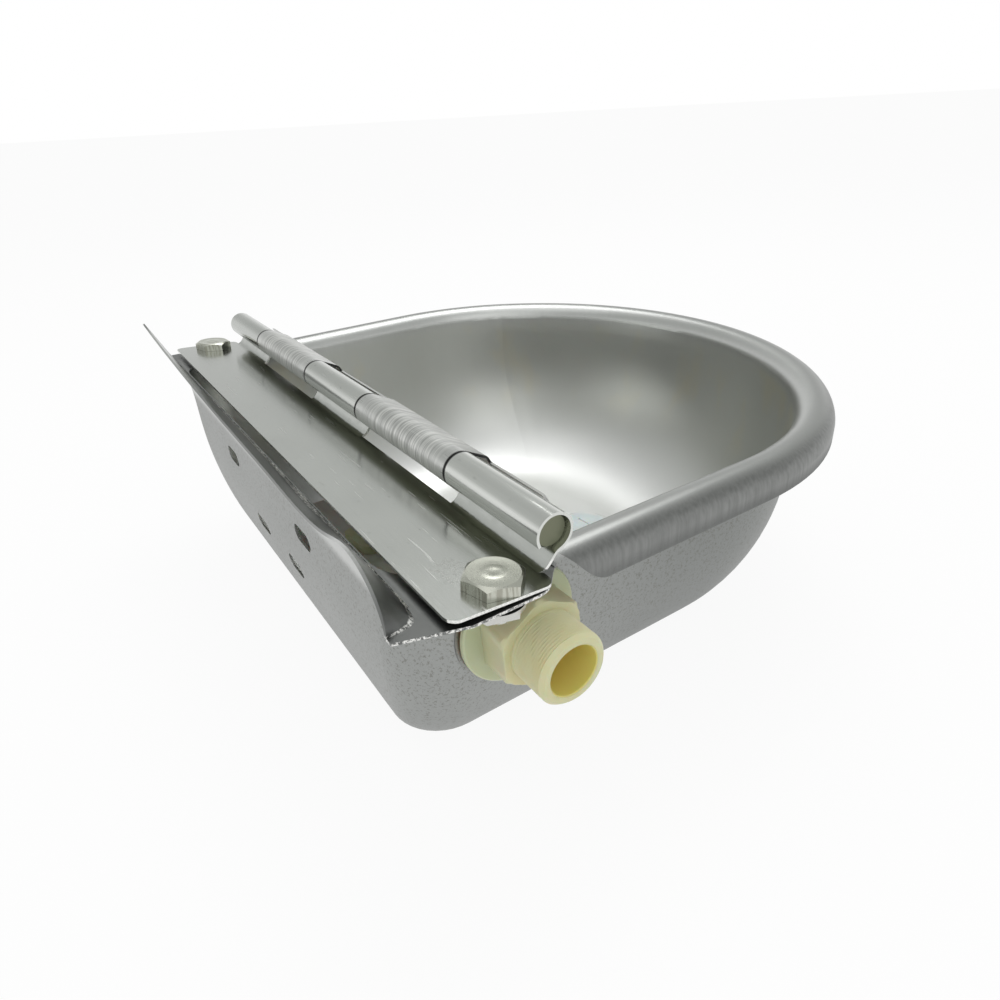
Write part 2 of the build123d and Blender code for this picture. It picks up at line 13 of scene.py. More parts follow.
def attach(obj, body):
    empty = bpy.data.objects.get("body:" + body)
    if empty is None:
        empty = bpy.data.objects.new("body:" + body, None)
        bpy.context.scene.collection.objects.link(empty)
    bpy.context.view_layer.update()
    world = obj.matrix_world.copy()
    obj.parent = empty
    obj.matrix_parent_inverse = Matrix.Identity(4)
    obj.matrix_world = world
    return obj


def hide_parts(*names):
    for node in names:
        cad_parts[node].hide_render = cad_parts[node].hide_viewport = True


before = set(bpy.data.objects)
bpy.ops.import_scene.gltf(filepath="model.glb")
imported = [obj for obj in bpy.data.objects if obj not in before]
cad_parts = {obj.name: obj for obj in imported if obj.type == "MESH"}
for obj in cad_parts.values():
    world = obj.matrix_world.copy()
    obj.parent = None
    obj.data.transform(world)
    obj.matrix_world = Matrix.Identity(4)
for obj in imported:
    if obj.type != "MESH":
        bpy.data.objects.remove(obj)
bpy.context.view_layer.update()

LOG = logging.getLogger("bowl")
MM = 0.001
Colour = tuple[float, float, float]
Point = tuple[float, float, float]


# ------------------------------------ shader maths ------------------------------------
class Shade:
    """A number, colour or vector on a shader socket, used in ordinary expressions."""

    def __init__(self, graph: "Graph", socket: bpy.types.NodeSocket) -> None:
        """Keeps the socket and the graph that it belongs to.

        Args:
            graph: the graph that new nodes are added to.
            socket: the output socket that carries the value.
        """
        self.graph = graph
        self.socket = socket

    def _math(self, operation: str, first: "Value", second: "Value") -> "Shade":
        """Adds a Math node.

        Args:
            operation: the Math node's operation.
            first: its first value.
            second: its second value.

        Returns:
            The node's result.
        """
        return self.graph.put("ShaderNodeMath", {"operation": operation}, {0: first, 1: second})

    def __add__(self, other: "Value") -> "Shade":
        """Sum of two values."""
        return self._math("ADD", self, other)

    __radd__ = __add__

    def __sub__(self, other: "Value") -> "Shade":
        """This value less the other."""
        return self._math("SUBTRACT", self, other)

    def __rsub__(self, other: "Value") -> "Shade":
        """The other value less this one."""
        return self._math("SUBTRACT", other, self)

    def __mul__(self, other: "Value") -> "Shade":
        """Product of two values."""
        return self._math("MULTIPLY", self, other)

    __rmul__ = __mul__

    def __truediv__(self, other: "Value") -> "Shade":
        """This value over the other."""
        return self._math("DIVIDE", self, other)

    def __pow__(self, other: "Value") -> "Shade":
        """This value to a power."""
        return self._math("POWER", self, other)

    def larger(self, other: "Value") -> "Shade":
        """The larger of two values."""
        return self._math("MAXIMUM", self, other)

    def smaller(self, other: "Value") -> "Shade":
        """The smaller of two values."""
        return self._math("MINIMUM", self, other)

    def above(self, low: float, high: float) -> "Shade":
        """Smooth step from 0 at low to 1 at high.

        Args:
            low: where the step starts.
            high: where it ends.

        Returns:
            The step's value, from 0 to 1.
        """
        return self.graph.put(
            "ShaderNodeMapRange",
            {"interpolation_type": "SMOOTHSTEP", "clamp": True},
            {"Value": self, "From Min": low, "From Max": high},
        )

    def blend(self, low: "Value", high: "Value") -> "Shade":
        """Colour between two colours, by this value.

        Args:
            low: the colour at 0.
            high: the colour at 1.

        Returns:
            The mixed colour.
        """
        return self.graph.put(
            "ShaderNodeMix",
            {"data_type": "RGBA"},
            {0: self, 6: low, 7: high},
            2,
        )


Value = Union[Shade, float, tuple]


class Graph:
    """The node tree of one material, built by expressions."""

    def __init__(self, tree: bpy.types.NodeTree) -> None:
        """Empties the tree and keeps it.

        Args:
            tree: the material's or world's node tree.
        """
        tree.nodes.clear()
        self.tree = tree

    def put(
        self,
        kind: str,
        settings: Optional[dict] = None,
        inputs: Optional[dict] = None,
        output: Union[int, str] = 0,
    ) -> Shade:
        """Adds one node, sets it up and feeds its sockets.

        Args:
            kind: the node's type.
            settings: its properties, or a ramp's "stops" as (place, colour) pairs.
            inputs: values or links of its sockets, by name or number.
            output: the output socket that is wanted.

        Returns:
            That output.
        """
        node = self.tree.nodes.new(kind)
        for name, setting in (settings or {}).items():
            if name == "stops":
                self._set_stops(node.color_ramp.elements, setting)
            else:
                setattr(node, name, setting)
        for key, value in (inputs or {}).items():
            self.feed(node.inputs[key], value)
        return Shade(self, node.outputs[output]) if len(node.outputs) else node

    @staticmethod
    def _set_stops(elements: bpy.types.ColorRampElements, stops: Iterable) -> None:
        """Sets a ramp's stops.

        Args:
            elements: the ramp's elements.
            stops: pairs of place and colour.
        """
        for index, (place, colour) in enumerate(stops):
            stop = elements[index] if index < len(elements) else elements.new(place)
            stop.position = place
            stop.color = (*colour, 1.0)

    def feed(self, socket: bpy.types.NodeSocket, value: Value) -> None:
        """Links or sets one input socket.

        Args:
            socket: the socket to feed.
            value: what it gets.
        """
        if isinstance(value, Shade):
            self.tree.links.new(value.socket, socket)
        elif isinstance(value, tuple) and socket.type == "RGBA":
            socket.default_value = (*value, 1.0)
        else:
            socket.default_value = value

    def place(self, scale: tuple = (1.0, 1.0, 1.0)) -> Shade:
        """The point on the piece, in metres, stretched by scale along each axis."""
        point = self.put("ShaderNodeTexCoord", output="Object")
        return self.put("ShaderNodeVectorMath", {"operation": "MULTIPLY"}, {0: point, 1: scale})

    def axis(self, name: str) -> Shade:
        """One coordinate of the point on the piece, in metres: X, Y or Z."""
        point = self.put("ShaderNodeTexCoord", output="Object")
        return self.put("ShaderNodeSeparateXYZ", inputs={0: point}, output=name)

    def distance_along(self, name: str) -> Shade:
        """One coordinate of the point on the piece, without its sign."""
        inputs = {0: self.axis(name)}
        return self.put("ShaderNodeMath", {"operation": "ABSOLUTE"}, inputs)

    def levelness(self) -> Shade:
        """1 where the surface lies level, 0 where it stands upright."""
        normal = self.put("ShaderNodeNewGeometry", output="True Normal")
        up = self.put("ShaderNodeSeparateXYZ", inputs={0: normal}, output="Z")
        return up * up

    def scaled(self, colour: Colour, tone: Shade) -> Shade:
        """A colour made lighter or darker by a tone."""
        inputs = {0: colour, "Scale": tone}
        return self.put("ShaderNodeVectorMath", {"operation": "SCALE"}, inputs)

    def noise(
        self,
        size_mm: float,
        stretch: tuple = (1.0, 1.0, 1.0),
        detail: float = 3.0,
        rough: float = 0.5,
    ) -> Shade:
        """Soft noise with spots of about a given size.

        Args:
            size_mm: size of a spot.
            stretch: how much finer the spots are along each axis.
            detail: how many finer layers are added.
            rough: how strong the finer layers are.

        Returns:
            The noise, from 0 to 1.
        """
        inputs = {
            "Vector": self.place(stretch),
            "Scale": 1.0 / (size_mm * MM),
            "Detail": detail,
            "Roughness": rough,
        }
        return self.put("ShaderNodeTexNoise", inputs=inputs)

    def bump(self, height: Shade, depth_mm: float, strength: float = 1.0) -> Shade:
        """Normal of a surface raised by height.

        Args:
            height: the height, from 0 to 1.
            depth_mm: how far a height of 1 stands out.
            strength: how much of it shows.

        Returns:
            The normal.
        """
        inputs = {"Height": height, "Distance": depth_mm * MM, "Strength": strength}
        return self.put("ShaderNodeBump", inputs=inputs)


# -------------------------------------- finishes --------------------------------------
KNUCKLE_ENDS = (0.031, 0.108)
SHADOW: Colour = (0.02, 0.02, 0.02)
GRIME: Colour = (0.17, 0.17, 0.155)
# painted highlights: the tones that sheared edges are lightened to
SHELL_GLINT: Colour = (0.86, 0.86, 0.83)
COVER_GLINT: Colour = (0.88, 0.88, 0.85)
SPECKLE: Colour = (0.13, 0.125, 0.10)


def knuckle_joints(graph: Graph) -> Shade:
    """Finds the thin shaded lines where two hinge knuckles meet.

    Args:
        graph: the material's graph.

    Returns:
        1 on the lines, 0 elsewhere.
    """
    across = graph.distance_along("X")
    near = None
    for end in KNUCKLE_ENDS:
        away = graph.put("ShaderNodeMath", {"operation": "ABSOLUTE"}, {0: across - end})
        line = 1.0 - away.above(0.0006, 0.0011)
        near = line if near is None else near + line
    return near * graph.axis("Z").above(0.1175, 0.1190)


@dataclass(frozen=True)
class Finish:
    """A surface finish. Each kind adds its own detail to the base shader."""

    name: str
    colour: Colour
    roughness: float

    metallic = 0.0
    subsurface = 0.0

    def surface(self, graph: Graph) -> dict:
        """What varies over the surface.

        Args:
            graph: the material's graph.

        Returns:
            Values or links for the Principled shader's sockets.
        """
        return {"Base Color": self.colour, "Roughness": self.roughness}

    def material(self) -> bpy.types.Material:
        """Builds the finish's material, or returns it if it is there already."""
        known = bpy.data.materials.get(self.name)
        if known:
            return known
        made = bpy.data.materials.new(self.name)
        made.use_nodes = True
        graph = Graph(made.node_tree)
        inputs = {"Metallic": self.metallic, "Subsurface Weight": self.subsurface}
        inputs.update(self.surface(graph))
        shader = graph.put("ShaderNodeBsdfPrincipled", inputs=inputs)
        graph.put("ShaderNodeOutputMaterial", inputs={"Surface": shader})
        return made


@dataclass(frozen=True)
class DrawnSteel(Finish):
    """Satin stainless steel from the drawing press, cloudy and finely grained."""

    grain_mm: float = 0.6
    cloud: float = 0.12

    metallic = 1.0

    def surface(self, graph: Graph) -> dict:
        """Clouds, fine grain and faint drawing streaks; see Finish.surface."""
        clouds = graph.noise(38.0, detail=4.0)
        grain = graph.noise(self.grain_mm, detail=2.0, rough=0.7)
        streaks = graph.noise(2.2, (1.0, 1.0, 0.08), detail=3.0)
        tone = 1.0 + (clouds - 0.5) * self.cloud + (grain - 0.5) * 0.16 + (streaks - 0.5) * 0.08
        colour = graph.scaled(self.colour, tone)
        roughness = self.roughness + (clouds - 0.5) * 0.12 + (grain - 0.5) * 0.1
        height = grain * 0.7 + streaks * 0.3
        return {
            "Base Color": colour,
            "Roughness": roughness,
            "Normal": graph.bump(height, 0.035),
        }


@dataclass(frozen=True)
class RolledSteel(Finish):
    """Bright rolled sheet with fine lines along X and a few scratches."""

    line_mm: float = 0.5
    lines: float = 0.5

    metallic = 1.0

    def surface(self, graph: Graph) -> dict:
        """Rolling lines, scratches and faint clouds; see Finish.surface."""
        lines = graph.noise(self.line_mm, (0.01, 1.0, 1.0), detail=3.0, rough=0.6)
        clouds = graph.noise(24.0, detail=3.0)
        scratch = graph.noise(1.1, (0.05, 1.0, 1.0), detail=1.0).above(0.70, 0.74)
        tone = 1.0 + (lines - 0.5) * 0.14 * self.lines + (clouds - 0.5) * 0.1 + scratch * 0.1
        colour = graph.scaled(self.colour, tone)
        roughness = self.roughness + (lines - 0.5) * 0.1 + (clouds - 0.5) * 0.08 + scratch * 0.12
        return {
            "Base Color": colour,
            "Roughness": roughness,
            "Normal": graph.bump(lines, 0.012 * self.lines),
        }


@dataclass(frozen=True)
class MouldedPlastic(Finish):
    """Natural moulded plastic, slightly translucent, with flow clouds."""

    tint: Colour = (0.62, 0.55, 0.28)

    subsurface = 0.25

    def surface(self, graph: Graph) -> dict:
        """Flow clouds and a fine eroded texture; see Finish.surface."""
        clouds = graph.noise(9.0, detail=3.0)
        fine = graph.noise(0.5, detail=2.0)
        colour = (clouds.above(0.42, 0.75) * 0.35).blend(self.colour, self.tint)
        return {
            "Base Color": colour,
            "Roughness": self.roughness + (clouds - 0.5) * 0.15,
            "Normal": graph.bump(fine, 0.02),
        }


@dataclass(frozen=True)
class Rubber(Finish):
    """Matt black rubber with a dusty bloom."""

    def surface(self, graph: Graph) -> dict:
        """Dusty bloom and fine grain; see Finish.surface."""
        dust = graph.noise(3.0, detail=4.0)
        colour = (dust.above(0.45, 0.8) * 0.4).blend(self.colour, (0.12, 0.12, 0.115))
        return {
            "Base Color": colour,
            "Roughness": self.roughness + dust * 0.2,
            "Normal": graph.bump(graph.noise(0.3), 0.02),
        }


@dataclass(frozen=True)
class ShellSteel(DrawnSteel):
    """The drawn shell: warm water marks, painted shade on its rim, skirt, outer walls and ear tops, a
    painted pool of light on its floor and painted highlights on its sheared edges.
    """

    plan: tuple[float, float, float] = (0.1444, -0.0342, 0.1316)
    # painted shade: the tone that the rim's crest, its skirt and the ears' tops are darkened to
    painted_shade_tone: Colour = (0.16, 0.165, 0.16)
    warm: Colour = (0.60, 0.57, 0.45)
    bright: Colour = (0.55, 0.56, 0.53)
    # painted light: the pale tone of the pool of light on the trough's floor
    floor_painted_light: Colour = (0.92, 0.93, 0.92)
    # painted shade: the tone that the outer walls are darkened to
    outer_painted_shade: Colour = (0.13, 0.14, 0.135)
    middle: Point = (0.0, 0.0, 0.108)

    def _outward(self, graph: Graph) -> Shade:
        """Finds how far out in plan a point lies.

        Args:
            graph: the material's graph.

        Returns:
            About 1 on the wall, and more on the rim.
        """
        half, arc_y, reach = self.plan
        across = graph.axis("X") / half
        ahead = (graph.axis("Y") - arc_y).smaller(0.0) / reach
        return (across * across + ahead * ahead) ** 0.5

    def _facing_out(self, graph: Graph) -> Shade:
        """Tells the sheet's outer face from its inner one.

        Args:
            graph: the material's graph.

        Returns:
            1 where it faces away from the trough's middle, 0 where it faces in.
        """
        away = graph.put(
            "ShaderNodeVectorMath", {"operation": "SUBTRACT"}, {0: graph.place(), 1: self.middle}
        )
        normal = graph.put("ShaderNodeNewGeometry", output="True Normal")
        facing = graph.put(
            "ShaderNodeVectorMath", {"operation": "DOT_PRODUCT"}, {0: away, 1: normal}, "Value"
        )
        return facing.above(-0.001, 0.001)

    def _edges(self, graph: Graph) -> Shade:
        """Finds the sheared edges of the ears and of the lip.

        Args:
            graph: the material's graph.

        Returns:
            1 on the edges, 0 elsewhere.
        """
        flat = graph.levelness().above(0.75, 0.90)
        height = graph.axis("Z")
        in_lip = height.above(0.1128, 0.1131)
        in_ear = height.above(0.1108, 0.1111) * (1.0 - in_lip)
        behind = graph.axis("Y").above(0.072, 0.076)
        return behind * (in_ear * (1.0 - flat) + in_lip * flat)

    def surface(self, graph: Graph) -> dict:
        """Clouds, grain, water marks, painted shade on the skirt and elsewhere, painted light and
        painted edge highlights; see Finish.surface.
        """
        base = super().surface(graph)
        height = graph.axis("Z")
        outward = self._outward(graph)
        # masks of the rim's crest and of its skirt, used for painted shade below
        rim = outward.above(1.01, 1.05) * height.above(0.094, 0.099)
        skirt = outward.above(1.068, 1.10) * height.above(0.094, 0.099)
        streaks = graph.noise(1.6, (1.0, 1.0, 0.06), detail=2.0)
        skirt = skirt * (0.68 + (streaks - 0.5) * 0.6)
        below_rim = 1.0 - height.above(0.098, 0.104)
        facing_out = self._facing_out(graph)
        outside = facing_out * below_rim
        inside = (1.0 - facing_out) * below_rim
        floor = inside * (1.0 - height.above(0.004, 0.045))
        marks = graph.noise(26.0, (1.0, 1.0, 0.6), detail=4.0).above(0.50, 0.72)
        marks = marks * inside * height.above(0.03, 0.07) * 0.55
        speckle = graph.noise(1.3, detail=5.0, rough=0.8).above(0.52, 0.62)
        behind = graph.axis("Y").above(0.1165, 0.1182)
        colour = (inside * 0.85).blend(base["Base Color"], self.bright)
        # painted light: the inner floor lightened, fading out up the walls
        colour = (floor * 0.8).blend(colour, self.floor_painted_light)
        colour = marks.blend(colour, self.warm)
        # painted shade: outer faces darkened, more towards the bottom and the front
        low = 1.0 - height.above(0.0, 0.060)
        front_shade = 1.0 - graph.axis("Y").above(-0.02, 0.07)
        colour = (outside * (0.48 + low * 0.30 + front_shade * 0.20)).blend(colour, self.outer_painted_shade)
        colour = (speckle * outside * 0.55).blend(colour, SPECKLE)
        # painted shade: the pocket behind the lip darkened
        pocket_shade = behind * height.above(0.108, 0.111) * (1.0 - height.above(0.119, 0.128))
        colour = (pocket_shade * 0.65).blend(colour, (0.10, 0.105, 0.10))
        # painted shade: the ears' tops under the cover darkened
        ear_top_shade = height.above(0.1102, 0.1108) * (1.0 - height.above(0.113, 0.1135))
        ear_top_shade = ear_top_shade * graph.axis("Y").above(0.098, 0.108) * 0.75
        colour = ear_top_shade.blend(colour, self.painted_shade_tone)
        # painted shade: the rim's crest darkened, and the skirt darkened with streaks
        colour = (rim * 0.42).blend(colour, self.painted_shade_tone)
        colour = skirt.blend(colour, self.painted_shade_tone)
        dots = graph.noise(0.9, detail=2.0, rough=0.7).above(0.40, 0.60)
        # painted highlight: light dots along the sheared edges of the ears and the lip
        colour = (self._edges(graph) * dots).blend(colour, SHELL_GLINT)
        roughness = base["Roughness"] + outside * 0.10 + skirt * 0.06 + inside * 0.05
        return {**base, "Base Color": colour, "Roughness": roughness}


@dataclass(frozen=True)
class CoverSteel(RolledSteel):
    """The cover's bright sheet: faint scratches, a smudge by the bolt, painted shade towards its +X
    end, painted highlights on its edges.
    """

    smudge_at: tuple[float, float] = (-0.148, 0.101)

    def surface(self, graph: Graph) -> dict:
        """Rolling lines, smudges, scratches, painted shade and painted edge highlights; see
        Finish.surface.
        """
        base = super().surface(graph)
        across, along, height = graph.axis("X"), graph.axis("Y"), graph.axis("Z")
        dx, dy = across - self.smudge_at[0], along - self.smudge_at[1]
        near = 1.0 - (dx * dx + dy * dy * 2.0).above(0.00003, 0.00011)
        blotch = graph.noise(1.3, detail=4.0, rough=0.7).above(0.46, 0.62) * near
        hair = graph.noise(1.6, (0.35, 1.0, 0.2), detail=1.0).above(0.735, 0.75)
        specks = graph.noise(2.4, detail=1.0).above(0.78, 0.82)
        dark = blotch * 0.38 + hair * 0.10 + specks * 0.30
        # painted shade: the sheet darkened towards its +X end
        colour = (across.above(-0.16, 0.16) * 0.55).blend(base["Base Color"], (0.26, 0.275, 0.255))
        colour = dark.blend(colour, GRIME)
        colour = (knuckle_joints(graph) * 0.9).blend(colour, SHADOW)
        # painted highlight: light dots on the sheet's upright cut edges
        side = 1.0 - graph.levelness().above(0.2, 0.4)
        side = side * (1.0 - height.above(0.1155, 0.1165))
        dots = graph.noise(0.9, detail=2.0, rough=0.7).above(0.35, 0.60)
        colour = (side * dots).blend(colour, COVER_GLINT)
        return {**base, "Base Color": colour, "Roughness": base["Roughness"] + blotch * 0.12}


@dataclass(frozen=True)
class FlapSteel(RolledSteel):
    """The flap's sheet, with the bright rub marks across its two knuckles."""

    def surface(self, graph: Graph) -> dict:
        """Rolling lines and the knuckles' rub marks; see Finish.surface."""
        base = super().surface(graph)
        across = graph.distance_along("X")
        inner, outer = KNUCKLE_ENDS
        on = across.above(inner + 0.002, inner + 0.012)
        on = on * (1.0 - across.above(outer - 0.012, outer - 0.002))
        on = on * graph.axis("Z").above(0.112, 0.121)
        bars = graph.noise(1.0, (1.0, 0.05, 0.05), detail=2.0, rough=0.6)
        colour = (on * bars.above(0.50, 0.62) * 0.5).blend(base["Base Color"], (0.90, 0.90, 0.87))
        colour = (on * (1.0 - bars.above(0.34, 0.46)) * 0.5).blend(colour, (0.25, 0.25, 0.24))
        colour = (knuckle_joints(graph) * 0.9).blend(colour, SHADOW)
        return {**base, "Base Color": colour, "Roughness": base["Roughness"] + on * 0.12}


@dataclass(frozen=True)
class ForgedSteel(DrawnSteel):
    """A forged bolt head, with upright trimming marks on its sides."""

    def surface(self, graph: Graph) -> dict:
        """Grain and trimming marks; see Finish.surface."""
        base = super().surface(graph)
        side = 1.0 - graph.levelness().above(0.15, 0.35)
        bars = graph.noise(0.8, (1.0, 1.0, 0.06), detail=2.0).above(0.40, 0.58)
        colour = (side * (1.0 - bars) * 0.6).blend(base["Base Color"], (0.26, 0.25, 0.20))
        return {**base, "Base Color": colour}


@dataclass(frozen=True)
class InletPlastic(MouldedPlastic):
    """The inlet's plastic: yellower in the bore, with painted shade on the hexagon and the flange."""

    axis: tuple[float, float] = (0.07695, 0.0826)
    yellow: Colour = (0.76, 0.67, 0.21)
    # painted shade: the tone of the hexagon and the flange
    hexagon_shade: Colour = (0.50, 0.48, 0.33)

    def surface(self, graph: Graph) -> dict:
        """Flow clouds, the bore's yellow, fine marks and painted shade; see Finish.surface."""
        base = super().surface(graph)
        y, z = graph.axis("Y") - self.axis[0], graph.axis("Z") - self.axis[1]
        inside = 1.0 - (y * y + z * z).above(0.0000865, 0.0000925)
        marks = graph.noise(0.9, (0.25, 1.0, 1.0), detail=3.0).above(0.55, 0.7)
        colour = (marks * 0.16).blend(base["Base Color"], (0.62, 0.56, 0.34))
        # painted shade: the hexagon and the flange darkened
        back = graph.axis("X").above(-0.1606, -0.1590)
        colour = (back * 0.45).blend(colour, self.hexagon_shade)
        colour = inside.blend(colour, self.yellow)
        return {**base, "Base Color": colour}


class Finishes(Enum):
    """Every finish on the bowl."""

    SHELL = ShellSteel("drawn shell steel", (0.55, 0.56, 0.545), 0.36)
    COVER = CoverSteel("bright cover sheet", (0.66, 0.675, 0.645), 0.19)
    FLAP = FlapSteel("flap sheet", (0.55, 0.56, 0.54), 0.28)
    # painted shade: the pin's dark tone stands in for the shade on its recessed ends
    PIN = RolledSteel("drawn pin rod", (0.19, 0.20, 0.14), 0.42)
    FASTENER = DrawnSteel("bright fastener", (0.60, 0.60, 0.57), 0.26, 0.4)
    BOLT = ForgedSteel("forged bolt head", (0.56, 0.57, 0.50), 0.30)
    IVORY = MouldedPlastic("ivory plastic", (0.75, 0.71, 0.45), 0.42)
    INLET = InletPlastic("inlet plastic", (0.66, 0.63, 0.385), 0.36)
    FLOAT = MouldedPlastic("float plastic", (0.74, 0.74, 0.68), 0.45, (0.62, 0.62, 0.52))
    WHITE = MouldedPlastic("white plastic", (0.87, 0.87, 0.85), 0.35, (0.74, 0.74, 0.70))
    BRASS = RolledSteel("turned brass", (0.60, 0.45, 0.18), 0.3)
    RUBBER = Rubber("black rubber", (0.03, 0.03, 0.03), 0.6)


NODE_FINISH = {
    "bowl_shell": Finishes.SHELL,
    "cover_plate": Finishes.COVER,
    "splash_flap": Finishes.FLAP,
    "hinge_pin": Finishes.PIN,
    "cover_washers": Finishes.FASTENER,
    "valve_head": Finishes.IVORY,
    "lock_nut": Finishes.IVORY,
    "outer_gasket": Finishes.RUBBER,
    "inner_gasket": Finishes.RUBBER,
    "plunger_seal": Finishes.RUBBER,
    "drain_seal": Finishes.RUBBER,
    "nozzle_seat": Finishes.BRASS,
    "plunger": Finishes.WHITE,
    "float_lever": Finishes.IVORY,
    "lever_pin": Finishes.FASTENER,
    "pin_clips": Finishes.FASTENER,
    "float_block": Finishes.FLOAT,
    "float_screws": Finishes.FASTENER,
    "drain_plug": Finishes.WHITE,
}


def dress(piece: bpy.types.Object, finish: Finishes) -> None:
    """Gives a piece one finish.

    Args:
        piece: the mesh object.
        finish: what it gets.
    """
    piece.data.materials.clear()
    piece.data.materials.append(finish.value.material())
    LOG.info("dressed %s in %s", piece.name, finish.value.name)


# --------------------------------------- pieces ---------------------------------------
Ring = list[Point]


def lathe_mesh(name: str, bands: list[list[Ring]], crease: float = 32.0) -> bpy.types.Object:
    """Skins closed rows of rings into one mesh, one closed form for each row.

    Args:
        name: the piece's name.
        bands: rows of rings in millimetres; a row whose last ring is its first is a loop.
        crease: edges sharper than this many degrees stay sharp.

    Returns:
        The new mesh object.
    """
    points: list[Point] = []
    faces: list[tuple[int, ...]] = []
    for rings in bands:
        looped = rings[0] is rings[-1]
        kept = rings[:-1] if looped else rings
        count = len(kept[0])
        start = len(points)
        points += [tuple(value * MM for value in point) for ring in kept for point in ring]
        for row in range(len(rings) - 1):
            here, there = start + row * count, start + ((row + 1) % len(kept)) * count
            for k in range(count):
                after = (k + 1) % count
                faces.append((here + k, here + after, there + after, there + k))
        if not looped:
            last = start + (len(kept) - 1) * count
            faces.append(tuple(start + k for k in reversed(range(count))))
            faces.append(tuple(last + k for k in range(count)))
    mesh = bpy.data.meshes.new(name)
    mesh.from_pydata(points, [], faces)
    work = bmesh.new()
    work.from_mesh(mesh)
    bmesh.ops.recalc_face_normals(work, faces=work.faces)
    work.to_mesh(mesh)
    work.free()
    mesh.shade_smooth()
    mesh.set_sharp_from_angle(angle=math.radians(crease))
    piece = bpy.data.objects.new(name, mesh)
    bpy.context.collection.objects.link(piece)
    return piece


def hexagon_radius(flats: float, angle: float) -> float:
    """Distance from a hexagon's middle to its outline, at an angle from a corner."""
    sixth = math.pi / 3
    return flats / 2 / math.cos(angle % sixth - sixth / 2)


@dataclass
class CoverFasteners:
    """The two hexagon bolts of the cover and their low nuts, in millimetres."""

    reach: float = 160.2
    back: float = 19.5
    tilt: float = math.radians(3.84)
    hinge: tuple[float, float] = (75.0, 113.0)
    flats: float = 17.6
    head: float = 4.4
    turn: float = math.radians(16.4)
    under: float = 5.5
    nut: float = 3.2
    shank: float = 5.0
    round_share: float = 0.94
    slope: float = 0.55
    steps: int = 96

    def _ring(self, side: int, radius: float, drop: float, height: float, six: bool) -> Ring:
        """One ring round a bolt's axis.

        Args:
            side: -1 for the inlet's side, 1 for the other.
            radius: the ring's radius, or its limit where it has six sides.
            drop: how far a corner falls for each millimetre beyond the flats' radius.
            height: height over the cover.
            six: whether the ring follows the hexagon.

        Returns:
            The ring's points, in millimetres.
        """
        ring = []
        lean, rise = math.sin(self.tilt), math.cos(self.tilt)
        for step in range(self.steps):
            angle = step * math.tau / self.steps
            reach = min(hexagon_radius(self.flats, angle), radius) if six else radius
            up = height - drop * max(0.0, reach - self.flats / 2 * self.round_share)
            turned = angle + self.turn
            x = side * self.reach + reach * math.cos(turned)
            y = self.back + reach * math.sin(turned)
            level = self.hinge[0] + y * rise - up * lean
            ring.append((x, level, self.hinge[1] + y * lean + up * rise))
        return ring

    def _head(self, side: int) -> list[Ring]:
        """Shapes a head: turned-off corners, a shallow dish and a low button in its middle.

        Args:
            side: -1 for the inlet's side, 1 for the other.

        Returns:
            The head's rings, from the cover up.
        """
        round_r = self.flats / 2 * self.round_share
        full = self.flats
        dish = ((0.93, -0.02), (0.86, -0.07), (0.70, -0.12), (0.52, -0.13), (0.46, -0.10),
                (0.38, 0.03), (0.26, 0.06), (0.18, 0.0), (0.10, -0.06), (0.01, -0.07))
        rings = [self._ring(side, full, 0.0, 0.05, True), self._ring(side, full, 0.0, 0.3, True),
                 self._ring(side, full, self.slope, self.head - 0.12, True),
                 self._ring(side, round_r, 0.0, self.head, True)]
        for share, sink in dish:
            rings.append(self._ring(side, round_r * share, 0.0, self.head + sink, False))
        return rings

    def _foot(self, side: int) -> list[Ring]:
        """Shapes the low nut and the end of the shank under the ear.

        Args:
            side: -1 for the inlet's side, 1 for the other.

        Returns:
            The rings, from the washer down.
        """
        low = -self.under - self.nut
        full, round_r = self.flats, self.flats / 2 * self.round_share
        return [self._ring(side, full, 0.0, -self.under, True),
                self._ring(side, full, 0.0, low + 0.9, True),
                self._ring(side, round_r, 0.0, low, False),
                self._ring(side, self.shank + 0.7, 0.0, low, False),
                self._ring(side, self.shank, 0.0, low + 0.3, False),
                self._ring(side, self.shank, 0.0, low - 0.5, False),
                self._ring(side, self.shank - 0.7, 0.0, low - 1.0, False)]

    def build(self) -> None:
        """Builds and dresses the bolts' heads and the nuts."""
        heads = lathe_mesh("bolt_heads", [self._head(side) for side in (-1, 1)])
        nuts = lathe_mesh("low_nuts", [self._foot(side) for side in (-1, 1)])
        settle(heads, Finishes.BOLT, "bowl", "fastener_steel", "cover_bolts")
        settle(nuts, Finishes.FASTENER, "bowl", "fastener_steel", "cover_nuts")


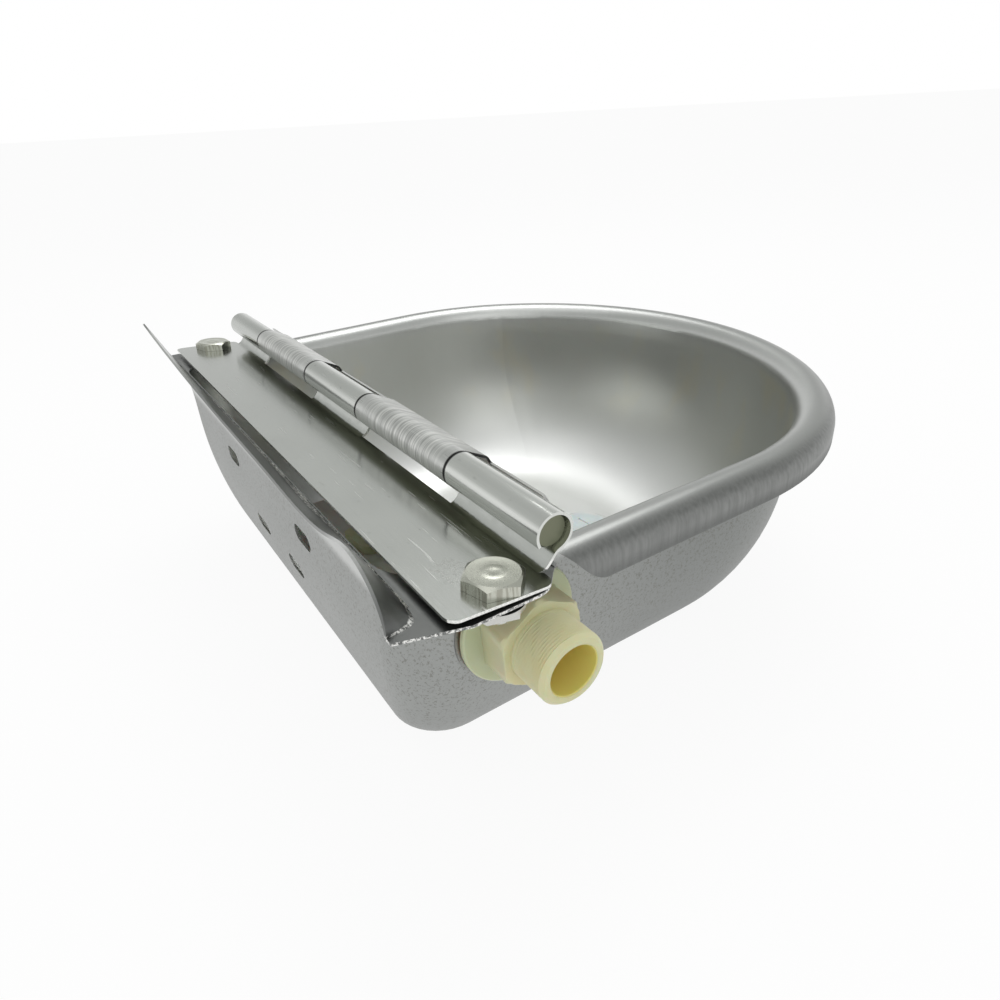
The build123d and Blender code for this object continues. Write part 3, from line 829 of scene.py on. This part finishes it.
@dataclass
class InletStub:
    """The valve's inlet: threaded stub, hexagon, flange and the shank inside, in millimetres."""

    axis: tuple[float, float] = (76.95, 82.6)
    tip: float = -176.6
    thread_start: float = -175.2
    hexagon_start: float = -160.5
    hexagon_end: float = -147.4
    flange_end: float = -145.4
    shank_end: float = -118.0
    thread_r: float = 13.22
    thread_depth: float = 0.7
    pitch: float = 1.16
    bore: float = 9.2
    flats: float = 31.0
    turn: float = math.radians(27.0)
    flange_r: float = 22.9
    steps: int = 120
    rows: int = 150

    def _ring(self, x: float, radius: float, six: float = 0.0, groove: float = 0.0) -> Ring:
        """One ring round the valve's axis.

        Args:
            x: its place along the axis.
            radius: its radius, or the limit of the hexagon's corners.
            six: 1 where the ring follows the hexagon.
            groove: how much of the thread's depth is cut.

        Returns:
            The ring's points, in millimetres.
        """
        ring = []
        for step in range(self.steps):
            angle = step * math.tau / self.steps
            reach = min(hexagon_radius(self.flats, angle), radius) if six else radius
            if groove:
                phase = (x / self.pitch + step / self.steps) % 1.0
                reach -= groove * self.thread_depth * (1.0 - abs(2.0 * phase - 1.0)) ** 0.8
            turned = angle + self.turn
            level = self.axis[0] + reach * math.cos(turned)
            ring.append((x, level, self.axis[1] + reach * math.sin(turned)))
        return ring

    def _thread(self) -> list[Ring]:
        """The cut thread, run out softly at both ends."""
        rows = self.rows
        length = self.hexagon_start - 0.5 - self.thread_start
        rings = []
        for row in range(rows + 1):
            share = row / rows
            groove = min(1.0, 0.6 + share * 8.0, max(0.001, (1.0 - share) * 7.0))
            rings.append(self._ring(self.thread_start + share * length, self.thread_r, groove=groove))
        return rings

    def build(self) -> None:
        """Builds and dresses the inlet."""
        corner = self.flats / math.sqrt(3)
        rings = [self._ring(self.tip, self.bore + 0.5),
                 self._ring(self.tip, self.thread_r - 2.0),
                 self._ring(self.tip + 0.12, self.thread_r - 1.5),
                 self._ring(self.tip + 0.9, self.thread_r - 0.7)]
        rings += self._thread()
        rings += [self._ring(self.hexagon_start, self.thread_r),
                  self._ring(self.hexagon_start, corner - 2.2, 1.0),
                  self._ring(self.hexagon_start + 0.25, corner - 1.5, 1.0),
                  self._ring(self.hexagon_start + 1.2, corner - 0.3, 1.0),
                  self._ring(self.hexagon_end - 0.6, corner - 0.3, 1.0),
                  self._ring(self.hexagon_end, corner + 0.4, 1.0),
                  self._ring(self.hexagon_end, self.flange_r - 0.6),
                  self._ring(self.hexagon_end + 0.5, self.flange_r),
                  self._ring(self.flange_end, self.flange_r),
                  self._ring(self.flange_end, self.thread_r),
                  self._ring(self.shank_end, self.thread_r),
                  self._ring(self.shank_end, self.bore),
                  self._ring(self.tip + 0.6, self.bore)]
        rings.append(rings[0])
        stub = lathe_mesh("inlet_stub", [rings], 28.0)
        settle(stub, Finishes.INLET, "bowl", "ivory_plastic", "valve_body")


def settle(piece: bpy.types.Object, finish: "Finishes", body: str, slot: str, *nodes: str) -> None:
    """Dresses a piece and ties it to its body.

    Args:
        piece: the mesh object.
        finish: what it is dressed in.
        body: the body that carries it.
        slot: the record's material slot; not used.
        nodes: the solids that it stands for.
    """
    dress(piece, finish)
    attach(piece, body)
    if nodes:
        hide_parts(*nodes)


# --------------------------------------- studio ---------------------------------------
@dataclass
class Studio:
    """Camera, pale floor, world and soft lamps."""

    spot: Vector = field(default_factory=lambda: Vector((-0.30393, 0.18207, 0.23509)))
    right: Vector = field(default_factory=lambda: Vector((-0.5585, -0.8281, -0.0481)))
    forward: Vector = field(default_factory=lambda: Vector((0.7388, -0.4702, -0.4829)))
    lens: float = 25.2
    floor_half: float = 90.0
    white: Colour = (1.0, 1.0, 1.0)

    def camera(self) -> None:
        """Sets the camera up at its place."""
        data = bpy.data.cameras.new("camera")
        data.lens, data.sensor_width = self.lens, 36.0
        data.clip_start = 0.01
        view = bpy.data.objects.new("camera", data)
        forward = self.forward.normalized()
        up = self.right.cross(forward).normalized()
        right = forward.cross(up)
        turn = Matrix((right, up, -forward)).transposed()
        view.matrix_world = Matrix.Translation(self.spot) @ turn.to_4x4()
        bpy.context.collection.objects.link(view)
        bpy.context.scene.camera = view

    def floor(self) -> None:
        """Lays the pale floor under the base."""
        half = self.floor_half
        mesh = bpy.data.meshes.new("floor")
        level = -0.0004
        corners = [(x * half, y * half, level) for x, y in ((-1, -1), (1, -1), (1, 1), (-1, 1))]
        mesh.from_pydata(corners, [], [(0, 1, 2, 3)])
        floor = bpy.data.objects.new("floor", mesh)
        bpy.context.collection.objects.link(floor)
        made = bpy.data.materials.new("pale floor")
        made.use_nodes = True
        graph = Graph(made.node_tree)
        lit = graph.put("ShaderNodeBsdfDiffuse", inputs={"Color": (0.95, 0.95, 0.95)})
        bare = graph.put("ShaderNodeEmission", inputs={"Color": self.white, "Strength": 1.0})
        share = self._seen(graph) * 0.92
        mixed = graph.put("ShaderNodeMixShader", inputs={0: share, 1: lit, 2: bare})
        graph.put("ShaderNodeOutputMaterial", inputs={"Surface": mixed})
        mesh.materials.append(made)

    @staticmethod
    def _seen(graph: Graph) -> Shade:
        """Tells which rays see the bare background.

        Args:
            graph: the material's graph.

        Returns:
            1 for camera, glossy and transmitted rays, 0 for the rest.
        """
        seen = graph.put("ShaderNodeLightPath", output="Is Camera Ray")
        for other in ("Is Glossy Ray", "Is Transmission Ray"):
            seen = seen.larger(graph.put("ShaderNodeLightPath", output=other))
        return seen

    def world(self) -> None:
        """Pale surroundings: bright at the horizon, greyer overhead."""
        world = bpy.data.worlds.new("studio")
        bpy.context.scene.world = world
        world.use_nodes = True
        graph = Graph(world.node_tree)
        point = graph.put("ShaderNodeTexCoord", output="Generated")
        height = graph.put("ShaderNodeSeparateXYZ", inputs={0: point}, output="Z")
        stops = ((0.0, self.white), (0.13, self.white), (0.36, (0.60, 0.61, 0.60)),
                 (0.72, (0.52, 0.53, 0.52)), (1.0, (0.64, 0.64, 0.64)))
        colour = graph.put("ShaderNodeValToRGB", {"stops": stops}, {0: height})
        shader = graph.put("ShaderNodeBackground", inputs={"Color": colour, "Strength": 1.0})
        graph.put("ShaderNodeOutputWorld", inputs={"Surface": shader})

    def lamp(self, name: str, spot: tuple, size: float, power: float) -> None:
        """Adds one square soft lamp that faces the bowl.

        Args:
            name: the lamp's name.
            spot: where it hangs, in metres.
            size: its side, in metres.
            power: its power, in watts.
        """
        data = bpy.data.lights.new(name, "AREA")
        data.shape, data.size, data.energy = "SQUARE", size, power
        lamp = bpy.data.objects.new(name, data)
        lamp.location = spot
        lamp.rotation_mode = "QUATERNION"
        lamp.rotation_quaternion = (Vector((0, 0, 0.06)) - Vector(spot)).to_track_quat("-Z", "Y")
        bpy.context.collection.objects.link(lamp)

    def build(self) -> None:
        """Builds the whole studio."""
        self.camera()
        self.floor()
        self.world()
        self.lamp("key lamp", (0.40, -0.45, 1.35), 0.8, 5.5)
        self.lamp("fill lamp", (-1.2, 0.5, 1.0), 1.2, 3.0)
        self.lamp("top lamp", (-0.1, 0.3, 1.5), 1.0, 1.5)
        bpy.context.scene.view_settings.view_transform = "Standard"
        LOG.info("built the studio")


def main() -> None:
    """Builds every part of the scene in order."""
    logging.basicConfig(level=logging.INFO)
    Studio().build()
    for node, finish in NODE_FINISH.items():
        dress(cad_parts[node], finish)
    for assembly in (CoverFasteners(), InletStub()):
        assembly.build()


if __name__ == "__main__":
    main()
